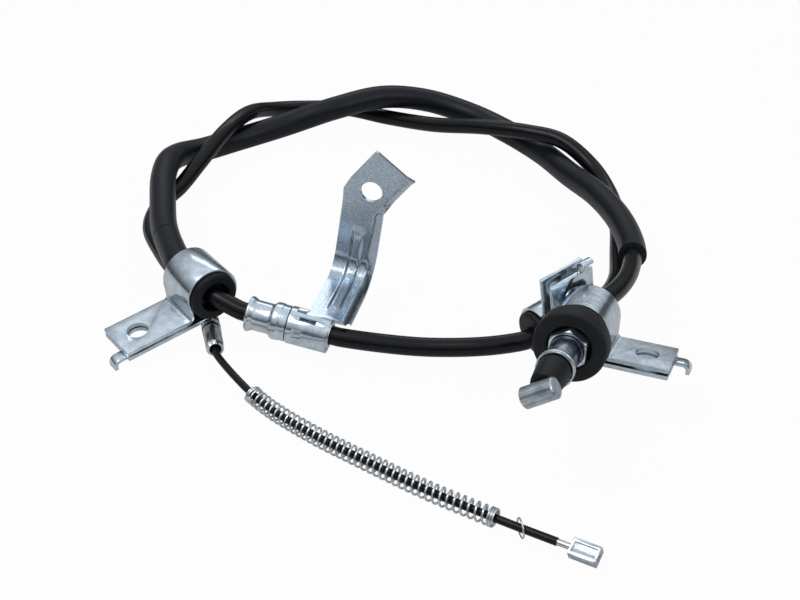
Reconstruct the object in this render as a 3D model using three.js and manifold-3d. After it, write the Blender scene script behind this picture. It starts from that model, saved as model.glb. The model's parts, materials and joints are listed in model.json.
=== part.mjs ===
// A steel-conduit parking brake cable, lying in nearly two turns, in millimetres with +Z up.
// The spring end lies toward the front, the lever end rests over the cable at the right.
import * as THREE from 'three';
import { mergeVertices } from 'three/addons/utils/BufferGeometryUtils.js';
import Module from 'manifold-3d';

const wasm = await Module();
wasm.setup();

// Fits
const clearance = 0.3;          // between pieces that touch or slide
const cableSlack = 0.4;         // round the inner cable in its bores

// Cable and conduit
const cableRadius = 1.5;        // coated inner cable
const strandRadius = 1.2;       // where the coat is stripped back
const strippedLength = 5;
const armourWall = 0.8;
const jacketWall = 0.9;
const sleeveWall = 1.8;
const armourBore = cableRadius + cableSlack;
const armourRadius = armourBore + armourWall;
const jacketBore = armourRadius + clearance;
const jacketRadius = jacketBore + jacketWall;
const sleeveBore = jacketRadius + clearance;
const sleeveRadius = sleeveBore + sleeveWall;
const stationPitch = 20;        // of the tubes along the conduit
const tubeSides = 8;
const sleeveSides = 12;
const roundSides = 24;

// Sheet-metal clips and their rubber bushes
const stripThickness = 1.6;
const stripWidth = 20;
const bushRadius = 9.5;
const bushOverhang = 2.5;
const bushLip = 0.8;
const leftTabReach = 41;        // from the cable's axis to the tab's end
const rightTabReach = 35;
const upperTabReach = 32;
const tabHoleRadius = 4.5;
const tabHoleInset = 10;
const tabBend = 2.3;
const hookWidth = 5;
const hookReach = 3;
const hookDrop = 3.6;
const hookInset = 6;            // from the strip's centre to the hook's centre
const clipBore = bushRadius + clearance;
const loopSteps = 15;

// Wheel-end ferrule at the spring end
const wheelFerruleLength = 18;
const wheelFerruleWall = 0.95;
const wheelFerruleNose = 5;     // length past the armour's end
const wheelFerruleFlutes = 6;
const fluteDepth = 0.45;

// Return spring, loose ring and end fitting on the bare inner cable
const springRadius = 3.7;
const springWire = 0.45;
const springCoils = 44;
const springGap = 43;           // of bare cable from the ferrule's centre to the spring
const springLength = 115;
const coilSteps = 8;
const wireSides = 5;
const ringRadius = 3.9;
const ringBore = 2.2;
const ringThickness = 0.7;
const ringLean = 0.3;           // radians, loose on the cable
const ringPlace = 29;           // from the end fitting's outer end
const fittingLength = 10.2;
const fittingAcross = 6.2;
const fittingFlat = 0.72;       // flattened height as a share of its width
const fittingTrough = 0.5;

// Crimp barrel with the stamped bracket's collar on it, from the barrel's middle
const barrelHalf = 17.5;
const barrelWall = 1.7;         // inside the collar
const barrelStep = 0.4;         // thicker outside it
const barrelFlare = 1.1;
const barrelFlareLength = 3;
const barrelBead = 1.4;
const barrelBeadWidth = 2.6;
const barrelBeadPlace = 5;
const bracketSheet = 1.5;
const collarLength = 17;
const collarSlot = 2;
const collarSlotLength = 7;
const dentSize = 4;
const dentDepth = 0.5;
const bracketWidth = 17;
const bracketOffset = 7;        // of the strip's near edge from the collar's inner end
const footReach = 26;
const bracketBend = 10.4;
const uprightHeight = 20;       // from the bend to the head
const headWidth = 20;
const headTurn = 31;            // degrees that the head is turned in its plane
const headHoleRadius = 4.5;
const headHoleInset = 15.5;
const headHoleHeight = 30.7;    // above the bend
const headShift = 2.7;
const flangeWidth = 4.6;
const flangeTurn = 35;          // degrees that the strip's far edge is bent back
const ribWidth = 4.4;
const ribHeight = 1.2;
const ribRun = 11;              // up the upright past the bend

// Lever end, from the grommet's front face along the cable
const grommetRadius = 14;
const grommetThickness = 9;
const grommetRecess = 8.4;
const grommetRecessDepth = 6;
const leverTubeWall = 1.9;
const leverTubeBack = 10.5;
const leverTubeFront = 19.5;
const leverNoseRadius = 3.9;
const leverNoseLength = 6.5;
const collarNutFlats = 6;
const collarNutFront = 2.5;
const bandWidth = 3;
const bandWall = 0.7;
const bandGroove = 0.25;
const bootLength = 13;
const bootTaper = 0.7;
const bootMouth = 2.6;
const bootMouthDepth = 3;
const nippleRadius = 4;
const nippleLength = 13;
const nipplePlace = 38;
const nippleRoll = 33;          // degrees about the cable's axis
const nippleChamfer = 0.5;
const rightClipPlace = 24;      // behind the grommet's front face

// Straight stretches of the route that carry fittings. Each heading runs from the spring end
// toward the lever end, and before and after are the lengths either side of the centre.
const seats = {
  fitting: { centre: [61.8, -160.4, 3.8], heading: [-0.866, 0.5, 0], before: 7, after: 24 },
  wheelFerrule: { centre: [-76.4, -35, 4.4], heading: [-0.22, 0.975, 0], before: 10, after: 10 },
  upperClip: { centre: [63.8, -37.2, 13.4], heading: [-0.83, -0.53, -0.2], before: 13, after: 13 },
  barrel: { centre: [-44.4, -38.6, 13.5], heading: [-0.96, 0.233, 0.15], before: 18, after: 18 },
  leftClip: { centre: [-82.3, -20, 21.2], heading: [-0.6, 0.79, 0.05], before: 8, after: 14 },
  lever: { centre: [61.25, -89.1, 37], heading: [-0.36, -0.92, 0.155], before: 37, after: 38 },
};

// The cable's route on the bench, chosen by hand
const route = [
  'fitting',
  [10.6, -129.6, 3.8], [-10.8, -114, 3.8], [-33.4, -96.5, 3.8], [-53.7, -77, 3.9],
  'wheelFerrule',
  [-94, 8, 4.1], [-107, 33, 4.1], [-115.5, 56, 4.1], [-114, 78, 4.1], [-106.5, 92.5, 5.8],
  [-98, 107, 11.8], [-88, 128, 17.4], [-78, 152, 16.6], [-66, 173, 9], [-51, 183, 5],
  [-30, 184, 4.1], [-6, 172.5, 4.2], [18, 156, 8], [42, 140, 14.5], [63, 128, 17.6],
  [80, 119.5, 17], [94, 106, 10], [101, 87, 4.8], [101.5, 62, 4.1], [98, 32, 4.4], [94, 7, 6.8],
  [86.5, -13, 10.6],
  'upperClip',
  [36, -48, 9.4], [12, -47, 8], [-8, -45.5, 9],
  'barrel',
  'leftClip',
  [-104, 29, 18], [-109, 57, 17], [-112, 80, 17], [-112, 97, 16.4], [-109, 112, 12.8],
  [-99, 128, 7.8], [-84, 142, 6.3], [-60, 154, 8.8], [-34, 162, 14.6], [-9, 173, 15.9],
  [14, 177, 12.2], [37, 169.5, 7.8], [56, 151, 6.3], [72, 127, 6.3], [83, 100, 8.2],
  [93, 70, 13], [99, 42, 15.8], [100, 12, 19], [95, -15, 24], [87.5, -34, 27.6],
  'lever',
];
const seatEase = 2;             // of straight run past each end of a seat

// Colours
const zinc = { color: 0xc3ccd2, roughness: 0.3, metalness: 0.9 };
const spun = { color: 0xb4b9bb, roughness: 0.35, metalness: 0.9 };
const gloss = { color: 0x111214, roughness: 0.3, metalness: 0 };
const matte = { color: 0x26292d, roughness: 0.65, metalness: 0 };
const coat = { color: 0x16181a, roughness: 0.45, metalness: 0 };

const vertical = new THREE.Vector3(0, 0, 1);
const vector = (xyz) => new THREE.Vector3(...xyz);
const radians = THREE.MathUtils.degToRad;

// A seat's own axes: x to the left of the heading, y up, z along it
function seatAxes(name) {
  const z = vector(seats[name].heading).normalize();
  const x = new THREE.Vector3().crossVectors(vertical, z).normalize();
  return { x, y: new THREE.Vector3().crossVectors(z, x), z };
}

const routePoints = [];
const seatIndex = {};
for (const stop of route) {
  if (typeof stop !== 'string') {
    routePoints.push(vector(stop));
    continue;
  }
  const { centre, before, after } = seats[stop];
  const { z } = seatAxes(stop);
  const at = (distance) => vector(centre).addScaledVector(z, distance);
  routePoints.push(at(-before - seatEase), at(-before));
  seatIndex[stop] = routePoints.length - 1;
  routePoints.push(at(after), at(after + seatEase));
}
const spline = new THREE.CatmullRomCurve3(routePoints, false, 'centripetal');
const stepsPerPoint = 40;
spline.arcLengthDivisions = stepsPerPoint * (routePoints.length - 1);
const runs = spline.getLengths();
const total = runs[runs.length - 1];

// Distance along the route of a place on a seat, counted from the seat's centre
function along(name, distance = 0) {
  return runs[stepsPerPoint * seatIndex[name]] + seats[name].before + distance;
}

// Where the pieces begin and end along the route
const fittingEnd = along('fitting', -fittingLength / 2);
const ferruleNose = along('wheelFerrule', -wheelFerruleLength / 2);
const armourStart = ferruleNose + wheelFerruleNose;
const jacketStart = along('wheelFerrule', wheelFerruleLength / 2) + clearance;
const jacketEnd = along('lever', 6);
const cableStart = fittingEnd + 1;
const cableEnd = along('lever', nipplePlace + 1);
const coatStart = along('fitting', fittingLength / 2) + strippedLength;
const springEnd = along('wheelFerrule') - springGap;
const springStart = springEnd - springLength;
const shortSleeveStart = along('leftClip', -stripWidth / 2 + 1);
const sleeveJoint = along('leftClip') + 47;
const longSleeveEnd = along('lever') - 102;

// Every tube along the cable shares these stops, so nested ones bend alike
const stops = [];
function addStops(from, to, pitch) {
  const count = Math.max(1, Math.round((to - from) / pitch));
  for (let i = 0; i <= count; i++) stops.push(from + (to - from) * i / count);
}
const fixedStops = [cableStart, along('fitting', seats.fitting.after), ferruleNose, armourStart, jacketStart];
for (const name of ['upperClip', 'barrel', 'leftClip']) {
  fixedStops.push(along(name, -seats[name].before), along(name, seats[name].after));
}
fixedStops.push(shortSleeveStart, sleeveJoint - clearance, sleeveJoint, longSleeveEnd);
fixedStops.push(along('lever', -seats.lever.before), jacketEnd, cableEnd);
fixedStops.sort((a, b) => a - b);
for (let i = 1; i < fixedStops.length; i++) addStops(fixedStops[i - 1], fixedStops[i], stationPitch);
stops.sort((a, b) => a - b);

// A stretch of the route with its stations at the shared stops
class Stretch extends THREE.Curve {
  constructor(from, to) {
    super();
    const near = 0.01;
    const inside = stops.filter((s) => s > from + near && s < to - near);
    this.places = [from, ...inside, to].filter((s, i, all) => i === 0 || s - all[i - 1] > near);
    this.steps = this.places.length - 1;
  }
  place(u) {
    return this.places[Math.round(u * this.steps)] / total;
  }
  getPointAt(u, target = new THREE.Vector3()) {
    return spline.getPointAt(this.place(u), target);
  }
  getTangentAt(u, target = new THREE.Vector3()) {
    return spline.getTangentAt(this.place(u), target);
  }
}

// A round outline whose flats stand at the radius where it is a bore
function ringPoints(radius, sides, isBore = false) {
  const reach = isBore ? radius / Math.cos(Math.PI / sides) : radius;
  const turn = (i) => 2 * Math.PI * i / sides;
  return Array.from({ length: sides }, (_, i) => new THREE.Vector2(
    reach * Math.cos(turn(i)), reach * Math.sin(turn(i))));
}

function tube(from, to, radius, bore, sides) {
  const stretch = new Stretch(from, to);
  const shape = new THREE.Shape(ringPoints(radius, sides));
  if (bore > 0) shape.holes.push(new THREE.Path(ringPoints(bore, sides, true)));
  return new THREE.ExtrudeGeometry(shape, { steps: stretch.steps, extrudePath: stretch });
}

// A revolved profile of [radius, place] pairs, turned to lie along z
function turned(profile, sides = roundSides) {
  const points = profile.map(([radius, place]) => new THREE.Vector2(radius, place));
  if (profile[0][0] > 0) points.push(points[0].clone());
  return new THREE.LatheGeometry(points, sides).rotateX(Math.PI / 2);
}

function prism(outline, from, to) {
  const shape = new THREE.Shape(outline.map(([x, y]) => new THREE.Vector2(x, y)));
  const geometry = new THREE.ExtrudeGeometry(shape, { depth: to - from, bevelEnabled: false });
  return geometry.translate(0, 0, from);
}

// Shared vertices, with every face pointing out
function closed(geometry) {
  const bare = geometry.clone();
  bare.deleteAttribute('normal');
  bare.deleteAttribute('uv');
  const merged = mergeVertices(bare, 1e-4);
  const position = merged.attributes.position;
  const index = [];
  let volume = 0;
  const corner = (i) => new THREE.Vector3().fromBufferAttribute(position, i);
  for (let i = 0; i < merged.index.count; i += 3) {
    const [a, b, c] = [0, 1, 2].map((k) => merged.index.getX(i + k));
    if (a === b || b === c || c === a) continue;
    index.push(a, b, c);
    volume += corner(a).dot(corner(b).cross(corner(c)));
  }
  if (volume < 0) {
    for (let i = 0; i < index.length; i += 3) [index[i], index[i + 1]] = [index[i + 1], index[i]];
  }
  merged.setIndex(index);
  return merged;
}

function solid(geometry) {
  const shape = closed(geometry);
  return new wasm.Manifold(new wasm.Mesh({
    numProp: 3,
    vertProperties: new Float32Array(shape.attributes.position.array),
    triVerts: new Uint32Array(shape.index.array),
  }));
}

function fromSolid(result) {
  const mesh = result.getMesh();
  const geometry = new THREE.BufferGeometry();
  geometry.setAttribute('position', new THREE.BufferAttribute(mesh.vertProperties, 3));
  geometry.setIndex(new THREE.BufferAttribute(mesh.triVerts, 1));
  return geometry;
}

const cable = new THREE.Group();

function part(parent, name, geometry, finish) {
  const shaped = geometry.index ? geometry : closed(geometry);
  shaped.computeVertexNormals();
  const mesh = new THREE.Mesh(shaped, new THREE.MeshStandardMaterial({ ...finish, flatShading: true }));
  mesh.name = name;
  parent.add(mesh);
  return mesh;
}

// A group on a seat, its z along the cable, rolled about it
function seated(name, distance = 0, roll = 0) {
  const { x, y, z } = seatAxes(name);
  const group = new THREE.Group();
  group.quaternion.setFromRotationMatrix(new THREE.Matrix4().makeBasis(x, y, z));
  group.rotateZ(roll);
  group.position.copy(vector(seats[name].centre)).addScaledVector(z, distance);
  cable.add(group);
  return group;
}

// The run of cable: core, armour, jacket and the two rubber sleeves
function addCable() {
  const coated = solid(tube(coatStart, cableEnd, cableRadius, 0, tubeSides));
  const bare = solid(tube(cableStart, coatStart + 1, strandRadius, 0, tubeSides));
  part(cable, 'inner_cable', fromSolid(coated.add(bare)), coat);
  part(cable, 'conduit_armour', closed(tube(armourStart, jacketEnd - 1, armourRadius, armourBore, tubeSides)), spun);
  part(cable, 'conduit_jacket', closed(tube(jacketStart, jacketEnd, jacketRadius, jacketBore, tubeSides)), gloss);
  const sleeve = (from, to) => closed(tube(from, to, sleeveRadius, sleeveBore, sleeveSides));
  part(cable, 'short_sleeve', sleeve(shortSleeveStart, sleeveJoint - clearance), matte);
  part(cable, 'long_sleeve', sleeve(sleeveJoint, longSleeveEnd), matte);
}

function arc(x, y, radius, from, to, steps) {
  return Array.from({ length: steps + 1 }, (_, i) => {
    const turn = radians(from + (to - from) * i / steps);
    return [x + radius * Math.cos(turn), y + radius * Math.sin(turn)];
  });
}

// The section of a bent sheet: a line through its middle, with its faces set off to each side
function sheetSection(line, front, back = front) {
  const side = (reach) => line.map(([x, y], i) => {
    const before = line[Math.max(i - 1, 0)];
    const after = line[Math.min(i + 1, line.length - 1)];
    const here = new THREE.Vector2(after[0] - before[0], after[1] - before[1]).normalize();
    const first = new THREE.Vector2(x - before[0], y - before[1]).normalize();
    const mitre = i === 0 || i === line.length - 1 ? 1 : Math.max(first.dot(here), 0.5);
    return [x - here.y * reach / mitre, y + here.x * reach / mitre];
  });
  return [...side(front), ...side(-back).reverse()];
}

// A P-clip: one strip that runs round its bush and closes on itself as a two-layer tab
function clipStrip(tabReach, layerGap) {
  const middle = clipBore / Math.cos(radians(135 / loopSteps)) + stripThickness / 2;
  const upper = -middle + stripThickness + layerGap;
  const line = [
    [tabReach, upper],
    ...arc(middle + tabBend, upper + tabBend, tabBend, 270, 180, 4),
    ...arc(0, 0, middle, 0, 270, loopSteps),
    [tabReach, -middle],
  ];
  const strip = prism(sheetSection(line, stripThickness / 2), -stripWidth / 2, stripWidth / 2);
  const hookLine = [
    [tabReach - 1, -middle],
    ...arc(tabReach + hookReach, -middle - tabBend, tabBend, 90, 0, 3),
    [tabReach + hookReach + tabBend, -middle - hookDrop],
  ];
  const hook = prism(sheetSection(hookLine, stripThickness / 2), -hookInset - hookWidth / 2, -hookInset + hookWidth / 2);
  const hole = new THREE.CylinderGeometry(tabHoleRadius, tabHoleRadius, 4 * middle, 16);
  hole.translate(tabReach - tabHoleInset, -middle, 0);
  return fromSolid(solid(strip).add(solid(hook)).subtract(solid(hole)));
}

function bush(bore) {
  const half = stripWidth / 2;
  const outer = half + bushOverhang;
  const lip = bushRadius + bushLip;
  return closed(turned([
    [bore, -outer], [lip - 0.8, -outer], [lip, -outer + 0.8], [lip, -half - clearance],
    [bushRadius, -half - clearance], [bushRadius, half + clearance], [lip, half + clearance],
    [lip, outer - 0.8], [lip - 0.8, outer], [bore, outer],
  ], roundSides));
}

function addClip(side, seat, distance, roll, tabReach, layerGap, bore) {
  const place = seated(seat, distance, radians(roll));
  part(place, `${side}_clip`, clipStrip(tabReach, layerGap), zinc);
  part(place, `${side}_clip_bush`, bush(bore), matte);
}

// Crimped steel ferrule where the conduit ends and the bare cable leaves it
function addWheelFerrule() {
  const place = seated('wheelFerrule');
  const half = wheelFerruleLength / 2;
  const bore = armourRadius + clearance;
  const outer = bore + wheelFerruleWall;
  const throat = cableRadius + cableSlack;
  const shoulder = -half + wheelFerruleNose - clearance;
  const geometry = turned([
    [throat + 0.6, -half], [outer - 0.7, -half], [outer, -half + 2], [outer, half - 4.5],
    [outer - 0.7, half], [bore, half], [bore, shoulder], [throat, shoulder], [throat, -half + 1],
  ], wheelFerruleFlutes * 4);
  const position = geometry.attributes.position;
  for (let i = 0; i < position.count; i++) {
    const point = new THREE.Vector3().fromBufferAttribute(position, i);
    const reach = Math.hypot(point.x, point.y);
    if (reach < outer - 0.01) continue;
    const wave = (1 + Math.cos(wheelFerruleFlutes * Math.atan2(point.y, point.x))) / 2;
    const share = (reach - fluteDepth * wave) / reach;
    position.setXY(i, point.x * share, point.y * share);
  }
  part(place, 'wheel_ferrule', closed(geometry), spun);
}

// The spring's wire winds along the cable's own bow
class SpringLine extends THREE.Curve {
  getPoint(t, target = new THREE.Vector3()) {
    const share = THREE.MathUtils.clamp(t, 0, 1);
    const place = (springStart + springLength * share) / total;
    const centre = spline.getPointAt(place);
    const heading = spline.getTangentAt(place);
    const x = new THREE.Vector3().crossVectors(vertical, heading).normalize();
    const y = new THREE.Vector3().crossVectors(heading, x);
    const turn = 2 * Math.PI * springCoils * share;
    const middle = springRadius - springWire;
    return target.copy(centre)
      .addScaledVector(x, middle * Math.cos(turn))
      .addScaledVector(y, middle * Math.sin(turn));
  }
}

function addSpringEnd() {
  const coil = new SpringLine();
  const steps = springCoils * coilSteps;
  coil.getPointAt = (u, target) => coil.getPoint(u, target);
  coil.getTangentAt = (u, target) => coil.getTangent(u, target);
  const wire = new THREE.Shape(ringPoints(springWire, wireSides));
  part(cable, 'return_spring', closed(new THREE.ExtrudeGeometry(wire, { steps, extrudePath: coil })), spun);

  const ring = seated('fitting', -fittingLength / 2 + ringPlace);
  ring.rotateX(ringLean);
  ring.rotateY(ringLean / 2);
  ring.translateY(-(ringBore - cableRadius - clearance) / 2);
  const half = ringThickness / 2;
  part(ring, 'loose_ring', closed(turned([
    [ringBore, -half], [ringRadius, -half], [ringRadius, half], [ringBore, half],
  ], 16)), spun);

  // The end fitting is a pressed block with a trough along its upper and lower faces
  const fitting = seated('fitting');
  const wide = fittingAcross / 2;
  const high = wide * fittingFlat;
  const section = [
    [-wide, -high * 0.55], [-wide * 0.62, -high], [-wide * 0.3, -high + fittingTrough], [wide * 0.3, -high + fittingTrough],
    [wide * 0.62, -high], [wide, -high * 0.55], [wide, high * 0.55], [wide * 0.62, high],
    [wide * 0.3, high - fittingTrough], [-wide * 0.3, high - fittingTrough], [-wide * 0.62, high], [-wide, high * 0.55],
  ];
  const block = solid(prism(section, -fittingLength / 2, fittingLength / 2));
  const bore = new THREE.CylinderGeometry(strandRadius + clearance, strandRadius + clearance, fittingLength, 12);
  bore.rotateX(Math.PI / 2).translate(0, 0, 1 - clearance);
  part(fitting, 'end_fitting', fromSolid(block.subtract(solid(bore))), zinc);
}

// Swaged barrel on the conduit, which the bracket's rolled collar grips
const barrelBore = jacketRadius + clearance;
const barrelNeck = barrelBore + barrelWall;
const barrelRadius = barrelNeck + barrelStep;
const collarBore = barrelNeck + clearance;
const collarRadius = collarBore + bracketSheet;

function addBarrel() {
  const place = seated('barrel');
  const shoulder = collarRadius - clearance;
  const bead = barrelRadius + barrelBead;
  const flare = barrelRadius + barrelFlare;
  const beadBack = barrelBeadPlace - barrelBeadWidth / 2;
  const beadFront = barrelBeadPlace + barrelBeadWidth / 2;
  part(place, 'crimp_barrel', closed(turned([
    [barrelBore, -barrelHalf], [barrelNeck, -barrelHalf], [barrelNeck, clearance], [shoulder, clearance],
    [shoulder, beadBack - 0.5], [bead, beadBack], [bead, beadFront], [barrelRadius, beadFront + 1.5],
    [barrelRadius, barrelHalf - barrelFlareLength], [flare, barrelHalf - 1],
    [flare - 0.3, barrelHalf], [barrelBore, barrelHalf],
  ])), zinc);
}

// A closed skin through rings of matching points, with its ends capped
function loft(rings, section) {
  const count = section.length;
  const index = [];
  for (let r = 0; r + 1 < rings.length; r++) {
    for (let i = 0; i < count; i++) {
      const a = r * count + i;
      const b = r * count + (i + 1) % count;
      index.push(a, b, b + count, a, b + count, a + count);
    }
  }
  const contour = section.map(([x, y]) => new THREE.Vector2(x, y));
  const isClockwise = THREE.ShapeUtils.isClockWise(contour);
  const last = (rings.length - 1) * count;
  for (const face of THREE.ShapeUtils.triangulateShape(contour, [])) {
    const corners = face.map((i) => contour[i]);
    const [a, b, c] = THREE.ShapeUtils.isClockWise(corners) === isClockwise ? face : [...face].reverse();
    index.push(c, b, a, last + a, last + b, last + c);
  }
  const geometry = new THREE.BufferGeometry();
  geometry.setAttribute('position', new THREE.BufferAttribute(new Float32Array(rings.flat(2)), 3));
  geometry.setIndex(index);
  return geometry;
}

// The stamped bracket: a rolled collar, a level foot, a bend and an upright with a turned head.
// It is shaped with x toward the back, y up and z along the barrel from the collar's inner end.
function addBracket() {
  const place = seated('barrel');
  const toBarrel = (geometry) => geometry.rotateY(Math.PI);
  const half = bracketSheet / 2;
  const level = collarRadius - half;
  const bendTop = level + bracketBend;
  const upright = footReach + bracketBend;
  const near = bracketOffset;
  const far = bracketOffset + bracketWidth;
  const middle = (near + far) / 2;
  const fold = far - flangeWidth;

  // The strip's section is swept along its middle line, with the rib fading out at each end
  const foot = [0, 1, 2, 3].map((i) => [footReach * i / 3, level]);
  const bend = arc(footReach, bendTop, bracketBend, -90, 0, 8);
  const line = [...foot.slice(0, 3), ...bend, [upright, bendTop + ribRun - 3], [upright, bendTop + ribRun],
    [upright, bendTop + uprightHeight]];
  const ribShare = (i) => (i < 2 || i > line.length - 3 ? 0 : 1);
  const drop = flangeWidth * Math.tan(radians(flangeTurn));
  const face = (rise) => [
    [near, 0], [middle - ribWidth / 2 - 0.6, 0], [middle - ribWidth / 2 + 0.6, rise],
    [middle + ribWidth / 2 - 0.6, rise], [middle + ribWidth / 2 + 0.6, 0], [fold, 0], [far, -drop],
  ];
  const section = (rise) => [
    ...face(rise).map(([z, n]) => [z, n + half]),
    ...face(rise).map(([z, n]) => [z, n - half]).reverse(),
  ];
  const rings = line.map(([x, y], i) => {
    const before = line[Math.max(i - 1, 0)];
    const after = line[Math.min(i + 1, line.length - 1)];
    const t = new THREE.Vector2(after[0] - before[0], after[1] - before[1]).normalize();
    const rise = ribHeight * ribShare(i);
    return section(rise).map(([z, n]) => [x - t.y * n, y + t.x * n, z]);
  });
  const strip = solid(toBarrel(loft(rings, section(ribHeight))));

  // The head is laid out flat, x across the strip and y up the upright, then stood on the upright
  const turn = radians(headTurn);
  const spot = (a, b) => [
    headShift + Math.cos(turn) * a + Math.sin(turn) * b,
    headHoleHeight - Math.sin(turn) * a + Math.cos(turn) * b,
  ];
  const w = headWidth / 2;
  const side = bracketWidth / 2;
  const outline = [
    [-side, uprightHeight - 1], [side - flangeWidth, uprightHeight - 1], [side, uprightHeight + 1],
    spot(w, -3), spot(w, headHoleInset), spot(-w, headHoleInset), spot(-w, -2),
    [-side - 0.4, headHoleHeight - 1.2],
  ];
  const stand = (geometry) => toBarrel(geometry.applyMatrix4(new THREE.Matrix4().makeBasis(
    new THREE.Vector3(0, 0, 1), new THREE.Vector3(0, 1, 0), new THREE.Vector3(-1, 0, 0),
  )).translate(upright, bendTop, middle));
  const head = solid(stand(prism(outline, -half, half)));
  const hole = new THREE.CylinderGeometry(headHoleRadius, headHoleRadius, 20, 20);
  const headHole = solid(stand(hole.rotateX(Math.PI / 2).translate(headShift, headHoleHeight, 0)));

  const collar = solid(turned([
    [collarBore, -collarLength], [collarRadius, -collarLength], [collarRadius, 0], [collarBore, 0],
  ]));
  const boreReach = collarBore / Math.cos(Math.PI / roundSides);
  const bore = solid(new THREE.CylinderGeometry(boreReach, boreReach, 90, roundSides).rotateX(Math.PI / 2));
  const cut = (wide, deep, long, at, turned) => solid(new THREE.BoxGeometry(wide, 2 * deep, long)
    .translate(0, collarRadius, at).rotateZ(radians(turned)));
  let bracket = strip.add(head).subtract(headHole).subtract(bore).add(collar);
  for (const side of [-30, 140]) {
    bracket = bracket.subtract(cut(collarSlot, 2 * bracketSheet, collarSlotLength, -8, side));
  }
  for (const side of [-80, 40]) bracket = bracket.subtract(cut(dentSize, dentDepth, dentSize, -4.5, side));
  part(place, 'stamped_bracket', fromSolid(bracket), zinc);
}

// Lever end: grommet, crimp collar, steel tube, band, boot and barrel nipple
function addLeverEnd() {
  const place = seated('lever');
  const tubeBore = jacketRadius + clearance;
  const tubeRadius = tubeBore + leverTubeWall;
  const onTube = tubeRadius + clearance;
  const throat = cableRadius + cableSlack;
  const step = 6 + clearance;
  part(place, 'lever_ferrule', closed(turned([
    [tubeBore, -leverTubeBack], [tubeRadius - 0.8, -leverTubeBack], [tubeRadius, -leverTubeBack + 2], [tubeRadius, leverTubeFront],
    [leverNoseRadius, leverTubeFront], [leverNoseRadius, leverTubeFront + leverNoseLength], [throat, leverTubeFront + leverNoseLength],
    [throat, step], [tubeBore, step],
  ])), zinc);
  part(place, 'grommet', closed(turned([
    [onTube, -grommetThickness], [grommetRadius - 1, -grommetThickness], [grommetRadius, -grommetThickness + 1], [grommetRadius, -0.8],
    [grommetRadius - 0.8, 0], [grommetRecess + 0.4, 0], [grommetRecess, -0.4], [grommetRecess, -grommetRecessDepth], [onTube, -grommetRecessDepth],
  ])), matte);

  const nutReach = grommetRecess - clearance;
  const nutBack = -grommetRecessDepth + clearance;
  const nutShape = new THREE.Shape(ringPoints(nutReach, collarNutFlats));
  nutShape.holes.push(new THREE.Path(ringPoints(onTube, roundSides, true)));
  const nut = new THREE.ExtrudeGeometry(nutShape, { depth: collarNutFront - nutBack, bevelEnabled: false });
  part(place, 'crimp_collar', closed(nut.translate(0, 0, nutBack)), zinc);

  const bandFront = leverTubeFront;
  const bandBack = bandFront - bandWidth;
  const bandOuter = onTube + bandWall;
  part(place, 'boot_band', closed(turned([
    [onTube, bandBack], [bandOuter, bandBack], [bandOuter, bandBack + 0.9], [bandOuter - bandGroove, bandBack + 1.2],
    [bandOuter, bandBack + 1.5], [bandOuter, bandFront], [onTube, bandFront],
  ])), zinc);

  const bootBack = leverTubeFront + clearance;
  const bootFront = bootBack + bootLength;
  const bootInner = leverNoseRadius + clearance;
  part(place, 'cable_boot', closed(turned([
    [bootInner, bootBack], [tubeRadius + 0.2, bootBack], [tubeRadius + 0.2, bootBack + 2.5], [tubeRadius - bootTaper, bootFront - 1],
    [tubeRadius - bootTaper - 1, bootFront], [bootMouth, bootFront], [bootMouth, bootFront - bootMouthDepth],
    [bootInner, bootFront - bootMouthDepth - 1.5],
  ])), matte);

  const end = seated('lever', nipplePlace, radians(nippleRoll));
  const side = nippleLength / 2;
  const drum = turned([
    [0, -side], [nippleRadius - nippleChamfer, -side], [nippleRadius, -side + nippleChamfer],
    [nippleRadius, side - nippleChamfer], [nippleRadius - nippleChamfer, side], [0, side],
  ]).rotateY(Math.PI / 2);
  const bore = new THREE.CylinderGeometry(throat, throat, 2 * nippleRadius, 12).rotateX(Math.PI / 2);
  bore.translate(0, 0, -nippleRadius + 1 + clearance);
  part(end, 'barrel_nipple', fromSolid(solid(drum).subtract(solid(bore))), spun);
}

addCable();
addClip('left', 'leftClip', 0, -7.5, leftTabReach, 0.9, sleeveRadius + clearance);
addClip('upper', 'upperClip', 0, 86, upperTabReach, 4.5, jacketRadius + clearance);
addClip('right', 'lever', -rightClipPlace, 0, rightTabReach, 1.1, jacketRadius + clearance);
addWheelFerrule();
addSpringEnd();
addBarrel();
addBracket();
addLeverEnd();

// The origin is under the middle of the whole cable, at the surface that it lies on
const part_box = new THREE.Box3().setFromObject(cable, true);
const centre = part_box.getCenter(new THREE.Vector3());
cable.position.set(-centre.x, -centre.y, -part_box.min.z);
cable.updateMatrixWorld(true);

const brakeCable = new THREE.Group();
brakeCable.add(cable);
export default brakeCable;
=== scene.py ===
import bmesh
import bpy
import json
import math
from mathutils import Matrix, Vector


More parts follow.
